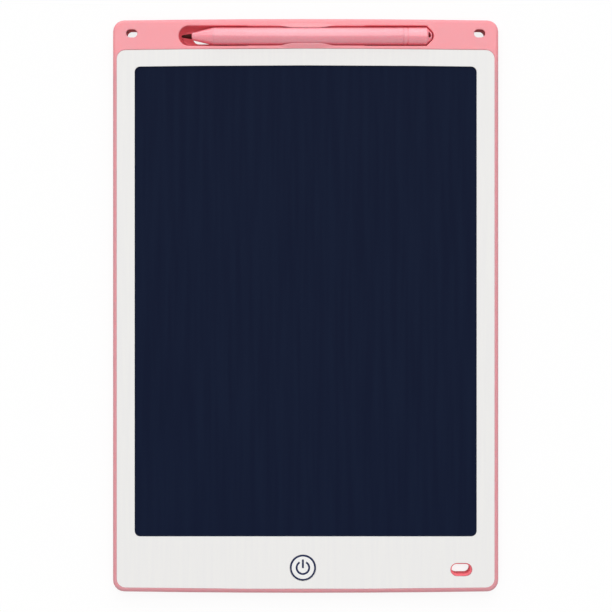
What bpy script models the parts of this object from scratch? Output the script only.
"""LCD writing tablet with a pen that lies in a slot in its top bar.

The tablet lies on its back: X runs across it, Y up it, Z out of the screen.
The origin is the middle of the back face. Lengths are in metres.
"""

import math

import bmesh
import bpy

MM = 0.001

# Screen window and the white panel round it
SCREEN_WIDTH = 149.4 * MM
SCREEN_HEIGHT = 205.9 * MM
SCREEN_CORNER_RADIUS = 2.4 * MM
SCREEN_TOP_CROWN = 0.5 * MM
PANEL_SIDE_BORDER = 7.8 * MM
PANEL_TOP_BORDER = 7.3 * MM
PANEL_CHIN = 22.9 * MM
PANEL_CORNER_RADIUS = 3.8 * MM
PANEL_THICKNESS = 0.4 * MM
PANEL_CLEARANCE = 0.1 * MM
PANEL_SINK = 0.1 * MM

# Case
CASE_THICKNESS = 6.0 * MM
SIDE_RIM = 1.8 * MM
BOTTOM_RIM = 2.0 * MM
TOP_BAR_DEPTH = 13.1 * MM
CASE_CORNER_RADIUS = 5.0 * MM
EDGE_CROWN = 0.6 * MM
FRONT_EDGE_RADIUS = 1.4 * MM
REAR_EDGE_RADIUS = 1.6 * MM
PARTING_HEIGHT = 2.2 * MM
SHELL_GAP = 0.1 * MM
FLOOR_THICKNESS = 1.2 * MM
TOP_BAR_SKIN = 1.3 * MM
LEDGE_THICKNESS = 1.2 * MM
LEDGE_SIDE_WIDTH = 4.1 * MM
LEDGE_TOP_WIDTH = 2.6 * MM
DISPLAY_MARGIN = 3.9 * MM
WELL_CORNER_RADIUS = 2.0 * MM

# Layers under the panel
TAPE_THICKNESS = 0.12 * MM
TAPE_EDGE = 0.5 * MM
LAYER_GAP = 0.08 * MM
FILM_THICKNESS = 0.2 * MM
FILM_PANEL_GAP = 0.14 * MM
FILM_EDGE_CLEARANCE = 0.4 * MM
FILM_CONTACT_STRIP = 1.6 * MM
BOARD_THICKNESS = 0.7 * MM
RIB_CLEARANCE = 0.1 * MM
PANEL_BOND_GAP = 0.2 * MM

# Pen
PEN_DIAMETER = 7.7 * MM
PEN_HEIGHT = 4.5 * MM
PEN_FROM_TOP = 7.6 * MM
PEN_CENTRE_X = 0.5 * MM
PEN_LENGTH = 109.9 * MM
NIB_LENGTH = 4.6 * MM
NIB_RADIUS = 1.15 * MM
NIB_NECK_RADIUS = 1.0 * MM
NIB_NECK_LENGTH = 1.6 * MM
NIB_TIP_RADIUS = 0.55 * MM
NIB_SHANK_RADIUS = 0.9 * MM
NIB_SHANK_LENGTH = 4.0 * MM
NOSE_LENGTH = 9.7 * MM
NOSE_TIP_RADIUS = 1.7 * MM
NOSE_TIP_ROUND = 0.5 * MM
BARREL_WALL = 0.9 * MM
SPIGOT_LENGTH = 3.5 * MM
PEN_PART_GAP = 0.1 * MM
CAP_LENGTH = 12.8 * MM
CAP_RING_LENGTH = 1.6 * MM
GROOVE_WIDTH = 0.3 * MM
GROOVE_DEPTH = 0.18 * MM
TAIL_CONE_LENGTH = 1.9 * MM
TAIL_END_LENGTH = 0.7 * MM
TAIL_END_RADIUS = 2.0 * MM
EYE_LENGTH = 1.25 * MM
EYE_WIDTH = 2.4 * MM
EYE_FROM_END = 2.0 * MM

# Pen slot
CRADLE_CLEARANCE = 0.5 * MM
CRADLE_WALL = 1.3 * MM
NIB_ROOM = 1.0 * MM
TAIL_ROOM = 0.5 * MM
MOUTH_RADIUS = 0.5 * MM
WAIST_CENTRE_X = 0.2 * MM
WAIST_LENGTH = 52.4 * MM
WAIST_STEP = 0.2 * MM
WAIST_BLEND = 1.0 * MM
LIP_CLEARANCE = 0.1 * MM
LIP_LENGTH = 10.0 * MM
LIP_BLEND = 9.6 * MM
LIP_CENTRE_X = 0.4 * MM
LIP_START = 0.6 * MM
SLIT_HALF_WIDTH = 2.6 * MM
SLIT_NIB_FLOOR = 5.7 * MM
SLIT_TAIL_FLOOR = 1.5 * MM
KEEL_CLEARANCE = 0.3 * MM
KEEL_WALL = 0.65 * MM
MOUTH_TUCK = 0.25 * MM
MOUTH_RUN_IN = 0.5 * MM

# Holes that go right through
HANG_HOLE_LENGTH = 4.8 * MM
HANG_HOLE_WIDTH = 3.4 * MM
HANG_HOLE_FROM_SIDE = 8.4 * MM
HANG_HOLE_FROM_TOP = 6.6 * MM
HANG_HOLE_ROUND = 0.4 * MM
HANG_BOSS_WALL = 1.2 * MM
POCKET_MARGIN = 1.2 * MM
POCKET_TOP_MARGIN = 0.6 * MM
POCKET_RADIUS = 1.0 * MM
TETHER_LENGTH = 9.6 * MM
TETHER_WIDTH = 5.8 * MM
TETHER_FROM_SIDE = 16.4 * MM
TETHER_FROM_CHIN_EDGE = 8.4 * MM
TETHER_RIM_CLEARANCE = 0.15 * MM
TETHER_RIM_WIDTH = 0.3 * MM
TETHER_RIM_ROUND = 0.3 * MM
TETHER_TAPER = 0.3 * MM
TETHER_BOSS_WALL = 1.2 * MM

# Rear cover: tongue, hooks and ribs
TONGUE_THICKNESS = 1.0 * MM
TONGUE_CLEARANCE = 0.1 * MM
TONGUE_HEIGHT = 1.4 * MM
TONGUE_TOP_GAP = 2.4 * MM
HOOK_LENGTH = 8.0 * MM
HOOK_DEPTH = 0.4 * MM
HOOK_HEIGHT = 0.7 * MM
HOOK_CATCH_SHARE = 0.33
HOOK_CLEARANCE = 0.15 * MM
HOOK_PLACE_SHARES = (-0.36, -0.12, 0.12, 0.36)
BOTTOM_HOOK_PLACE_SHARES = (-0.5, 0.5)
RIB_THICKNESS = 0.9 * MM
RIB_COLUMNS = 5
RIB_ROWS = 6
RIB_FIELD_TOP_GAP = 3.4 * MM
RIB_FIELD_BOTTOM_GAP = 10.6 * MM

# Erase key and its switch
KEY_X = -1.2 * MM
KEY_FROM_CHIN_EDGE = 9.2 * MM
KEY_RADIUS = 5.6 * MM
KEY_HOLE_CLEARANCE = 0.2 * MM
KEY_STAND = 0.05 * MM
KEY_FLANGE_WIDTH = 0.9 * MM
KEY_FLANGE_THICKNESS = 0.45 * MM
KEY_FLANGE_GAP = 0.3 * MM
KEY_FLANGE_CLEARANCE = 0.4 * MM
KEY_EDGE_RADIUS = 0.15 * MM
KEY_DISH_RADIUS = 3.9 * MM
KEY_DISH_DEPTH = 0.1 * MM
KEY_STEM_RADIUS = 1.5 * MM
KEY_TRAVEL = 0.3 * MM
PLUNGER_RADIUS = 1.15 * MM
PLUNGER_CLEARANCE = 0.2 * MM
PLUNGER_GAP = 0.05 * MM
PLUNGER_WELL_DEPTH = 0.8 * MM
TACT_WIDTH = 4.5 * MM
TACT_HEIGHT = 1.2 * MM

# Circuit board and what stands on it, with places as shares of the board from its middle
CIRCUIT_WIDTH = 52.0 * MM
CIRCUIT_DEPTH = 12.0 * MM
CIRCUIT_THICKNESS = 0.8 * MM
CIRCUIT_HEIGHT = 2.1 * MM
CIRCUIT_SHIFT_X = -1.8 * MM
CIRCUIT_SHIFT_Y = 2.0 * MM
CIRCUIT_CORNER_RADIUS = 1.0 * MM
CIRCUIT_SCREW_INSET = 2.4 * MM
CIRCUIT_SCREW_BACK_INSET = 8.0 * MM
SOLDER_GAP = 0.05 * MM
COMPONENT_BEVEL = 0.1 * MM
CHIP_SIZE = (4.9 * MM, 3.9 * MM, 0.95 * MM)
CHIP_PLACE_SHARES = (-0.163, 0.117)
INDUCTOR_RADIUS = 2.2 * MM
INDUCTOR_WAIST_RADIUS = 1.6 * MM
INDUCTOR_HEIGHT = 1.0 * MM
INDUCTOR_FLANGE = 0.25 * MM
INDUCTOR_PLACE_SHARES = (0.217, 0.183)
DIODE_SIZE = (2.7 * MM, 1.6 * MM, 0.95 * MM)
DIODE_PLACE_SHARES = (0.24, -0.217)
CAPACITOR_SIZE = (2.0 * MM, 1.25 * MM, 0.85 * MM)
CAPACITOR_PLACE_SHARES = ((0.138, 0.2), (0.138, -0.067))
RESISTOR_SIZE = (1.6 * MM, 0.8 * MM, 0.45 * MM)
RESISTOR_PLACE_SHARES = ((-0.163, -0.183), (-0.104, -0.35))

# Small screws
SCREW_HEAD_RADIUS = 1.3 * MM
SCREW_HEAD_HEIGHT = 0.4 * MM
SCREW_HEAD_FLAT_RADIUS = 0.9 * MM
SCREW_SHANK_RADIUS = 0.65 * MM
SCREW_LENGTH = 2.2 * MM
SCREW_TIP_LENGTH = 0.4 * MM
SCREW_DRIVE_LENGTH = 1.5 * MM
SCREW_DRIVE_WIDTH = 0.35 * MM
SCREW_DRIVE_DEPTH = 0.25 * MM
SCREW_SEAT_GAP = 0.05 * MM
SCREW_HOLE_CLEARANCE = 0.2 * MM
SCREW_BOSS_WALL = 1.1 * MM
SCREW_BOSS_CLEARANCE = 0.1 * MM
SCREW_FLOOR_SKIN = 0.4 * MM

# Lock switch and its knob on the back
LOCK_FROM_END = 9.0 * MM
LOCK_BODY_SIZE = (6.7 * MM, 2.6 * MM, 1.05 * MM)
LOCK_TRAVEL = 2.0 * MM
LEVER_WIDTH = 1.3 * MM
LEVER_THICKNESS = 0.45 * MM
LEVER_LENGTH = 3.3 * MM
LEVER_REACH = 2.2 * MM
LEVER_CLEARANCE = 0.15 * MM
KNOB_LENGTH = 5.0 * MM
KNOB_WIDTH = 3.6 * MM
KNOB_CORNER_RADIUS = 0.6 * MM
KNOB_SINK = 0.2 * MM
KNOB_CLEARANCE = 0.3 * MM
KNOB_FLANGE_MARGIN = 0.6 * MM
KNOB_FLANGE_SIDE_MARGIN = 0.4 * MM
KNOB_FLANGE_THICKNESS = 0.45 * MM
KNOB_FROM_BOARD = 1.4 * MM
KNOB_LIFT = 0.15 * MM
KNOB_GRIPS = 3
KNOB_GRIP_WIDTH = 0.5 * MM
KNOB_GRIP_DEPTH = 0.35 * MM
FORK_THICKNESS = 1.0 * MM
FORK_DEPTH = 1.6 * MM
FORK_CLEARANCE = 0.1 * MM
FORK_TOP_GAP = 0.2 * MM

# Coin cell, its contacts and the battery door
CELL_X = 42.0 * MM
CELL_FROM_CHIN_EDGE = 15.6 * MM
CELL_RADIUS = 10.0 * MM
CELL_THICKNESS = 2.5 * MM
CELL_CAN_WALL = 0.25 * MM
CELL_CRIMP = 0.5 * MM
CELL_CAP_RADIUS = 8.7 * MM
CELL_CAP_STAND = 0.3 * MM
CELL_GASKET_GAP = 0.08 * MM
CELL_EDGE_ROUND = 0.3 * MM
BAY_CLEARANCE = 0.25 * MM
BAY_WALL = 1.0 * MM
BAY_HEIGHT = 3.7 * MM
BAY_PAD_HEIGHT = 1.9 * MM
BAY_PAD_MARGIN = 2.5 * MM
BAY_GAP_HALF_WIDTH = 6.0 * MM
BAY_GAP_SILL = 0.2 * MM
CONTACT_THICKNESS = 0.2 * MM
CONTACT_GAP = 0.05 * MM
NEGATIVE_WIDTH = 3.4 * MM
NEGATIVE_SHIFT_Y = 3.4 * MM
NEGATIVE_PAD_LENGTH = 4.5 * MM
NEGATIVE_REACH = 3.0 * MM
NEGATIVE_CURL = 1.6 * MM
NEGATIVE_TIP_LIFT = 0.12 * MM
POSITIVE_WIDTH = 0.75 * MM
POSITIVE_SHIFT_Y = -1.0 * MM
POSITIVE_PAD_LENGTH = 3.5 * MM
POSITIVE_TOUCH_ANGLE = math.radians(207)
POSITIVE_CURL = 1.3 * MM
DOOR_HALF_DEPTH = 11.8 * MM
DOOR_REACH_HINGE = 12.2 * MM
DOOR_REACH_SCREW = 16.6 * MM
DOOR_THICKNESS = 0.8 * MM
DOOR_SINK = 0.15 * MM
DOOR_CLEARANCE = 0.3 * MM
DOOR_SEAT_GAP = 0.1 * MM
DOOR_CORNER_RADIUS = 3.0 * MM
DOOR_SCREW_INSET = 2.7 * MM
DOOR_SCREW_RECESS = 0.45 * MM
DOOR_SCREW_LENGTH = 1.9 * MM
DOOR_SCREW_SWING = 0.2 * MM
DOOR_BOSS_HEIGHT = 3.5 * MM
DOOR_TAB_LENGTH = 1.2 * MM
DOOR_TAB_WIDTH = 5.0 * MM
DOOR_TAB_SPREAD = 6.0 * MM
DOOR_TAB_THICKNESS = 0.5 * MM
DOOR_TAB_SKIN = 0.3 * MM
DOOR_TAB_CLEARANCE = 0.3 * MM
DOOR_GRIPS = 3
DOOR_GRIP_LENGTH = 8.0 * MM
DOOR_GRIP_WIDTH = 0.6 * MM
DOOR_GRIP_PITCH = 1.4 * MM
DOOR_GRIP_DEPTH = 0.25 * MM
DOOR_GRIP_INSET = 2.0 * MM

# Flexible tail between the film and the circuit board
TAIL_THICKNESS = 0.1 * MM
TAIL_WIDTH = 11.0 * MM
TAIL_SHIFT_X = -2.0 * MM
TAIL_OVERLAP = 1.0 * MM
TAIL_LANDING = 2.4 * MM
TAIL_NOTCH_MARGIN = 0.6 * MM
TAIL_NOTCH_DEPTH = 2.2 * MM
TAIL_DROP = 0.9 * MM
TAIL_BEND = 0.3 * MM

# Modelling values: overrun of a cut past a face, and how far joined shapes run into each other
OVERRUN = 0.6 * MM
EMBED = 0.15 * MM
WELD_DISTANCE = 0.001 * MM
CORNER_STEPS = 5
CROWN_STEPS = 6
ROUND_STEPS = 3
TURN_STEPS = 36
SMALL_TURN_STEPS = 16
SHARP_ANGLE = math.radians(30)

# Places worked out from the sizes above
RECESS_HALF_WIDTH = SCREEN_WIDTH / 2 + PANEL_SIDE_BORDER + PANEL_CLEARANCE
CASE_HALF_WIDTH = RECESS_HALF_WIDTH + SIDE_RIM
RECESS_HEIGHT = PANEL_CHIN + SCREEN_HEIGHT + PANEL_TOP_BORDER + 2 * PANEL_CLEARANCE
CASE_HEIGHT = BOTTOM_RIM + RECESS_HEIGHT + TOP_BAR_DEPTH
CASE_TOP = CASE_HEIGHT / 2
CASE_BOTTOM = -CASE_TOP
RECESS_BOTTOM = CASE_BOTTOM + BOTTOM_RIM
RECESS_TOP = RECESS_BOTTOM + RECESS_HEIGHT
CHIN_EDGE = RECESS_BOTTOM + PANEL_CLEARANCE
SCREEN_BOTTOM = CHIN_EDGE + PANEL_CHIN
SCREEN_TOP = SCREEN_BOTTOM + SCREEN_HEIGHT
RECESS_CORNER_RADIUS = PANEL_CORNER_RADIUS + PANEL_CLEARANCE
WELL_HALF_WIDTH = RECESS_HALF_WIDTH - LEDGE_SIDE_WIDTH
WELL_TOP = RECESS_TOP - LEDGE_TOP_WIDTH
WELL_BOTTOM = SCREEN_BOTTOM - DISPLAY_MARGIN

PANEL_TOP_Z = CASE_THICKNESS - PANEL_SINK
PANEL_LOW_Z = PANEL_TOP_Z - PANEL_THICKNESS
LEDGE_TOP_Z = PANEL_LOW_Z - PANEL_BOND_GAP
LEDGE_LOW_Z = LEDGE_TOP_Z - LEDGE_THICKNESS
FRONT_FILM_TOP_Z = PANEL_LOW_Z - FILM_PANEL_GAP
FRONT_FILM_LOW_Z = FRONT_FILM_TOP_Z - FILM_THICKNESS
REAR_FILM_TOP_Z = FRONT_FILM_LOW_Z - LAYER_GAP
REAR_FILM_LOW_Z = REAR_FILM_TOP_Z - FILM_THICKNESS
BOARD_TOP_Z = REAR_FILM_LOW_Z - LAYER_GAP
BOARD_LOW_Z = BOARD_TOP_Z - BOARD_THICKNESS
RIB_TOP_Z = BOARD_LOW_Z - RIB_CLEARANCE
FRAME_LOW_Z = PARTING_HEIGHT + SHELL_GAP
TONGUE_TOP_Z = PARTING_HEIGHT + TONGUE_HEIGHT
KEEL_LOW_Z = FLOOR_THICKNESS + KEEL_CLEARANCE

PEN_RADIUS = PEN_DIAMETER / 2
PEN_Y = CASE_TOP - PEN_FROM_TOP
PEN_TIP_X = PEN_CENTRE_X - PEN_LENGTH / 2
PEN_END_X = PEN_CENTRE_X + PEN_LENGTH / 2
NOSE_TIP_X = PEN_TIP_X + NIB_LENGTH
BARREL_START_X = NOSE_TIP_X + NOSE_LENGTH
BARREL_END_X = PEN_END_X - CAP_LENGTH
SPIGOT_RADIUS = PEN_RADIUS - BARREL_WALL - PEN_PART_GAP
CRADLE_RADIUS = PEN_RADIUS + CRADLE_CLEARANCE
SLOT_NIB_X = PEN_TIP_X - NIB_ROOM
SLOT_TAIL_X = PEN_END_X + TAIL_ROOM
SLIT_NIB_X = SLOT_NIB_X + SLIT_NIB_FLOOR
SLIT_TAIL_X = SLOT_TAIL_X - SLIT_TAIL_FLOOR
LIP_HALF_GAP = PEN_RADIUS + LIP_CLEARANCE

HANG_HOLE_X = CASE_HALF_WIDTH - HANG_HOLE_FROM_SIDE
HANG_HOLE_Y = CASE_TOP - HANG_HOLE_FROM_TOP
TETHER_X = CASE_HALF_WIDTH - TETHER_FROM_SIDE
TETHER_Y = CHIN_EDGE + TETHER_FROM_CHIN_EDGE

KEY_Y = CHIN_EDGE + KEY_FROM_CHIN_EDGE
KEY_TOP_Z = PANEL_TOP_Z + KEY_STAND
KEY_FLANGE_TOP_Z = PANEL_LOW_Z - KEY_FLANGE_GAP
KEY_FLANGE_LOW_Z = KEY_FLANGE_TOP_Z - KEY_FLANGE_THICKNESS
KEY_FLANGE_RADIUS = KEY_RADIUS + KEY_FLANGE_WIDTH

CIRCUIT_X = KEY_X + CIRCUIT_SHIFT_X
CIRCUIT_Y = KEY_Y + CIRCUIT_SHIFT_Y
CIRCUIT_LEFT = CIRCUIT_X - CIRCUIT_WIDTH / 2
CIRCUIT_RIGHT = CIRCUIT_X + CIRCUIT_WIDTH / 2
CIRCUIT_FRONT = CIRCUIT_Y - CIRCUIT_DEPTH / 2
CIRCUIT_BACK = CIRCUIT_Y + CIRCUIT_DEPTH / 2
CIRCUIT_TOP_Z = CIRCUIT_HEIGHT + CIRCUIT_THICKNESS
COMPONENT_LOW_Z = CIRCUIT_TOP_Z + SOLDER_GAP
CIRCUIT_SCREW_PLACES = (
    (CIRCUIT_LEFT + CIRCUIT_SCREW_INSET, CIRCUIT_BACK - CIRCUIT_SCREW_INSET),
    (CIRCUIT_RIGHT - CIRCUIT_SCREW_BACK_INSET, CIRCUIT_BACK - CIRCUIT_SCREW_INSET),
    (CIRCUIT_RIGHT - CIRCUIT_SCREW_INSET, CIRCUIT_FRONT + CIRCUIT_SCREW_INSET),
)
TACT_TOP_Z = COMPONENT_LOW_Z + TACT_HEIGHT
PLUNGER_TOP_Z = TACT_TOP_Z + KEY_TRAVEL + PLUNGER_GAP
KEY_STEM_LOW_Z = PLUNGER_TOP_Z + PLUNGER_GAP
SCREW_HOLE_RADIUS = SCREW_SHANK_RADIUS + SCREW_HOLE_CLEARANCE

LOCK_X = CIRCUIT_LEFT + LOCK_FROM_END
LOCK_REST_X = LOCK_X - LOCK_TRAVEL / 2
LOCK_BODY_Y = CIRCUIT_FRONT + LOCK_BODY_SIZE[1] / 2
LEVER_LOW_Z = COMPONENT_LOW_Z + LOCK_BODY_SIZE[2] / 2 - LEVER_THICKNESS / 2
KNOB_Y = CIRCUIT_FRONT - KNOB_FROM_BOARD
KNOB_FLANGE_LOW_Z = FLOOR_THICKNESS + KNOB_LIFT

CELL_Y = CHIN_EDGE + CELL_FROM_CHIN_EDGE
DOOR_LOW_Z = DOOR_SINK
DOOR_TOP_Z = DOOR_LOW_Z + DOOR_THICKNESS
CELL_LOW_Z = DOOR_TOP_Z + BAY_CLEARANCE - DOOR_SEAT_GAP
CELL_TOP_Z = CELL_LOW_Z + CELL_THICKNESS
BAY_RADIUS = CELL_RADIUS + BAY_CLEARANCE
DOOR_RECESS_Z = DOOR_TOP_Z + DOOR_SEAT_GAP
DOOR_HINGE_X = CELL_X - DOOR_REACH_HINGE
DOOR_FREE_X = CELL_X + DOOR_REACH_SCREW
DOOR_SCREW_X = DOOR_FREE_X - DOOR_SCREW_INSET
DOOR_TAB_LOW_Z = DOOR_TAB_SKIN + DOOR_SEAT_GAP

# Colours as seen, in 0 to 255 steps
PINK_FRAME = (244, 166, 172)
PINK_PEN = (240, 168, 178)
WHITE_PANEL = (236, 235, 233)
SCREEN_NAVY = (25, 30, 50)
FILM_GREY = (60, 66, 88)
NIB_BROWN = (53, 32, 26)
BOARD_GREY = (150, 152, 155)
TAPE_WHITE = (225, 225, 220)
CIRCUIT_GREEN = (30, 92, 58)
CHIP_BLACK = (32, 32, 34)
FERRITE_GREY = (70, 70, 74)
CERAMIC_TAN = (176, 148, 112)
STEEL = (200, 202, 205)
GASKET_BLACK = (60, 60, 62)
POLYIMIDE_AMBER = (196, 128, 48)
SWITCH_BLACK = (40, 40, 42)
SWITCH_WHITE = (225, 222, 214)
KEY_WHITE = (238, 237, 235)


def linear(channel):
    """Turn one 0 to 255 display value into a linear one."""
    value = channel / 255
    if value <= 0.04045:
        return value / 12.92
    return ((value + 0.055) / 1.055) ** 2.4


def clear_scene():
    """Remove what the scene holds at the start."""
    for item in list(bpy.data.objects):
        bpy.data.objects.remove(item, do_unlink=True)


def make_collection(name):
    """Add a collection to the scene."""
    group = bpy.data.collections.new(name)
    bpy.context.scene.collection.children.link(group)
    return group


clear_scene()
PARTS = make_collection("writing_tablet")
CUTTERS = make_collection("cutters")
CUTTERS.hide_render = True


def finish(piece, colour, roughness, metallic=0.0):
    """Give a piece its own Principled material and put it among the parts."""
    material = bpy.data.materials.new(piece.name + "_finish")
    material.use_nodes = True
    shader = material.node_tree.nodes["Principled BSDF"]
    shader.inputs["Base Color"].default_value = [linear(c) for c in colour] + [1.0]
    shader.inputs["Roughness"].default_value = roughness
    shader.inputs["Metallic"].default_value = metallic
    piece.data.materials.clear()
    piece.data.materials.append(material)
    for group in list(piece.users_collection):
        group.objects.unlink(piece)
    PARTS.objects.link(piece)
    return piece


def as_cutter(tool):
    """Hide a shape that only cuts or joins others."""
    tool.hide_render = True
    tool.display_type = "WIRE"
    return tool


def combine(piece, tool, operation):
    """Add a Boolean of the given kind to a piece."""
    step = piece.modifiers.new(tool.name, "BOOLEAN")
    step.object = as_cutter(tool)
    step.operation = operation
    step.solver = "EXACT"


def cut(piece, *tools):
    """Take the tools' shapes out of a piece."""
    for tool in tools:
        combine(piece, tool, "DIFFERENCE")


def join(piece, *tools):
    """Join the tools' shapes to a piece."""
    for tool in tools:
        combine(piece, tool, "UNION")


def object_from_bmesh(name, shape):
    """Make an object of a bmesh whose faces point out, among the cutters until it is finished."""
    bmesh.ops.remove_doubles(shape, verts=shape.verts, dist=WELD_DISTANCE)
    bmesh.ops.recalc_face_normals(shape, faces=shape.faces)
    mesh = bpy.data.meshes.new(name)
    shape.to_mesh(mesh)
    shape.free()
    item = bpy.data.objects.new(name, mesh)
    CUTTERS.objects.link(item)
    return item


def arc(centre_x, centre_y, radius, start, end, steps=CORNER_STEPS):
    """Points along an arc, both ends included."""
    angles = [start + (end - start) * i / steps for i in range(steps + 1)]
    return [(centre_x + radius * math.cos(a), centre_y + radius * math.sin(a)) for a in angles]


def bowed(x_from, x_to, end_y, crown, steps=CROWN_STEPS):
    """Inner points of an edge that bows by crown between its ends, as a shallow arc."""
    half = abs(x_to - x_from) / 2
    if crown == 0:
        return []
    bow_radius = (half ** 2 + crown ** 2) / (2 * abs(crown))
    points = []
    for i in range(1, steps):
        x = x_from + (x_to - x_from) * i / steps
        offset = x - (x_from + x_to) / 2
        rise = math.sqrt(bow_radius ** 2 - offset ** 2) - bow_radius + abs(crown)
        points.append((x, end_y + math.copysign(rise, crown)))
    return points


def crowned_outline(half_width, bottom, top, radius, bottom_crown=0.0, top_crown=0.0):
    """Rounded rectangle about X = 0 whose bottom and top edges may bow outwards."""
    reach = half_width - radius
    low = bottom + bottom_crown
    high = top - top_crown
    quarter = math.pi / 2
    points = arc(reach, low + radius, radius, -quarter, 0)
    points += arc(reach, high - radius, radius, 0, quarter)
    points += bowed(reach, -reach, high, top_crown)
    points += arc(-reach, high - radius, radius, quarter, 2 * quarter)
    points += arc(-reach, low + radius, radius, 2 * quarter, 3 * quarter)
    points += bowed(-reach, reach, low, -bottom_crown)
    return points


def rounded_box(centre_x, centre_y, width, depth, radius, steps=CORNER_STEPS):
    """Rounded rectangle about a centre."""
    reach_x = width / 2 - radius
    reach_y = depth / 2 - radius
    quarter = math.pi / 2
    points = []
    for turn, (side_x, side_y) in enumerate(((1, 1), (-1, 1), (-1, -1), (1, -1))):
        corner_x = centre_x + side_x * reach_x
        corner_y = centre_y + side_y * reach_y
        points += arc(corner_x, corner_y, radius, turn * quarter, (turn + 1) * quarter, steps)
    return points


def pill(centre_x, centre_y, length, width, steps=CORNER_STEPS):
    """Slot outline with round ends, lying along X."""
    return rounded_box(centre_x, centre_y, length, width, width / 2, steps)


def box_outline(left, right, low, high):
    """Plain rectangle from its edges."""
    return [(right, low), (right, high), (left, high), (left, low)]


def circle(centre_x, centre_y, radius, steps=TURN_STEPS):
    """Circle outline."""
    return arc(centre_x, centre_y, radius, 0, 2 * math.pi, steps)[:-1]


def distinct(points):
    """Leave out points that fall on the one before them."""
    kept = []
    for point in points:
        if not kept or math.dist(point, kept[-1]) > WELD_DISTANCE:
            kept.append(point)
    if math.dist(kept[0], kept[-1]) <= WELD_DISTANCE:
        kept.pop()
    return kept


def plate(name, loops, low, high):
    """Flat solid between two heights: the first loop is its edge and the others are holes."""
    outline = bpy.data.curves.new(name + "_outline", "CURVE")
    outline.dimensions = "2D"
    outline.fill_mode = "BOTH"
    outline.extrude = (high - low) / 2
    for loop in loops:
        points = distinct(loop)
        spline = outline.splines.new("POLY")
        spline.points.add(len(points) - 1)
        for knot, (x, y) in zip(spline.points, points):
            knot.co = (x, y, 0, 1)
        spline.use_cyclic_u = True
    holder = bpy.data.objects.new(name + "_outline", outline)
    CUTTERS.objects.link(holder)
    holder.location.z = (low + high) / 2
    bpy.context.view_layer.update()
    evaluated = holder.evaluated_get(bpy.context.evaluated_depsgraph_get())
    mesh = bpy.data.meshes.new_from_object(evaluated)
    shape = bmesh.new()
    shape.from_mesh(mesh)
    bpy.data.meshes.remove(mesh)
    item = object_from_bmesh(name, shape)
    item.matrix_world = holder.matrix_world.copy()
    bpy.data.objects.remove(holder)
    return item


def slab(name, outline, low, high, low_radius=0.0, high_radius=0.0):
    """Solid prism of one outline whose lower and upper edges may be rounded."""
    shape = bmesh.new()
    face = shape.faces.new([shape.verts.new((x, y, low)) for x, y in distinct(outline)])
    grown = bmesh.ops.extrude_face_region(shape, geom=[face])
    raised = [item for item in grown["geom"] if isinstance(item, bmesh.types.BMVert)]
    bmesh.ops.translate(shape, verts=raised, vec=(0, 0, high - low))
    bmesh.ops.recalc_face_normals(shape, faces=shape.faces)
    for height, radius in ((low, low_radius), (high, high_radius)):
        if radius > 0:
            rim = [e for e in shape.edges if all(abs(v.co.z - height) < WELD_DISTANCE for v in e.verts)]
            bmesh.ops.bevel(shape, geom=rim, offset=radius, segments=ROUND_STEPS, profile=0.5,
                            affect="EDGES", material=-1)
    return object_from_bmesh(name, shape)


def stack(name, rings):
    """Solid through rings of points that correspond, the lowest ring first."""
    shape = bmesh.new()
    loops = [[shape.verts.new(point) for point in ring] for ring in rings]
    for lower, upper in zip(loops, loops[1:]):
        for i in range(len(lower)):
            shape.faces.new((lower[i - 1], lower[i], upper[i], upper[i - 1]))
    shape.faces.new(list(reversed(loops[0])))
    shape.faces.new(loops[-1])
    return object_from_bmesh(name, shape)


def flared(name, outline_at, levels):
    """Solid whose outline grows or shrinks with height, by (height, offset) levels."""
    return stack(name, [[(x, y, z) for x, y in outline_at(offset)] for z, offset in levels])


def flare_up(edge_z, radius, base=0.0):
    """Levels that round a hole's edge at the top, up to the face at edge_z."""
    levels = []
    for i in range(ROUND_STEPS + 1):
        angle = math.pi / 2 * i / ROUND_STEPS
        levels.append((edge_z - radius + radius * math.sin(angle), base + radius * (1 - math.cos(angle))))
    levels.append((edge_z + OVERRUN, base + radius))
    return levels


def flare_down(edge_z, radius, base=0.0):
    """Levels that round a hole's edge at the bottom, from below the face at edge_z."""
    mirrored = flare_up(-edge_z, radius, base)
    return [(-z, offset) for z, offset in reversed(mirrored)]


def turned(name, profile, steps=TURN_STEPS):
    """Solid of revolution about Z. The profile of (radius, height) runs down its outer side."""
    mesh = bpy.data.meshes.new(name)
    points = distinct(profile)
    closed = all(radius > 0 for radius, _ in points)
    count = len(points)
    edges = [(i, i + 1) for i in range(count - 1)]
    if closed:
        edges.append((count - 1, 0))
    mesh.from_pydata([(radius, 0, height) for radius, height in points], edges, [])
    item = bpy.data.objects.new(name, mesh)
    CUTTERS.objects.link(item)
    spin = item.modifiers.new("turn", "SCREW")
    spin.axis = "Z"
    spin.angle = 2 * math.pi
    spin.steps = steps
    spin.render_steps = steps
    spin.use_merge_vertices = True
    spin.merge_threshold = WELD_DISTANCE
    return item


def solid_box(name, left, right, front, back, low, high):
    """Box between six faces, from a unit cube."""
    shape = bmesh.new()
    bmesh.ops.create_cube(shape, size=1.0)
    bmesh.ops.scale(shape, verts=shape.verts, vec=(right - left, back - front, high - low))
    middle = ((left + right) / 2, (front + back) / 2, (low + high) / 2)
    bmesh.ops.translate(shape, verts=shape.verts, vec=middle)
    return object_from_bmesh(name, shape)


def shift_origin(piece, place):
    """Move a piece's origin to a place and leave its shape where it is."""
    bpy.context.view_layer.update()
    for corner in piece.data.vertices:
        corner.co = piece.matrix_world @ corner.co
    piece.matrix_world.identity()
    for corner in piece.data.vertices:
        corner.co.x -= place[0]
        corner.co.y -= place[1]
        corner.co.z -= place[2]
    piece.location = place
    bpy.context.view_layer.update()
    return piece


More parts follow.
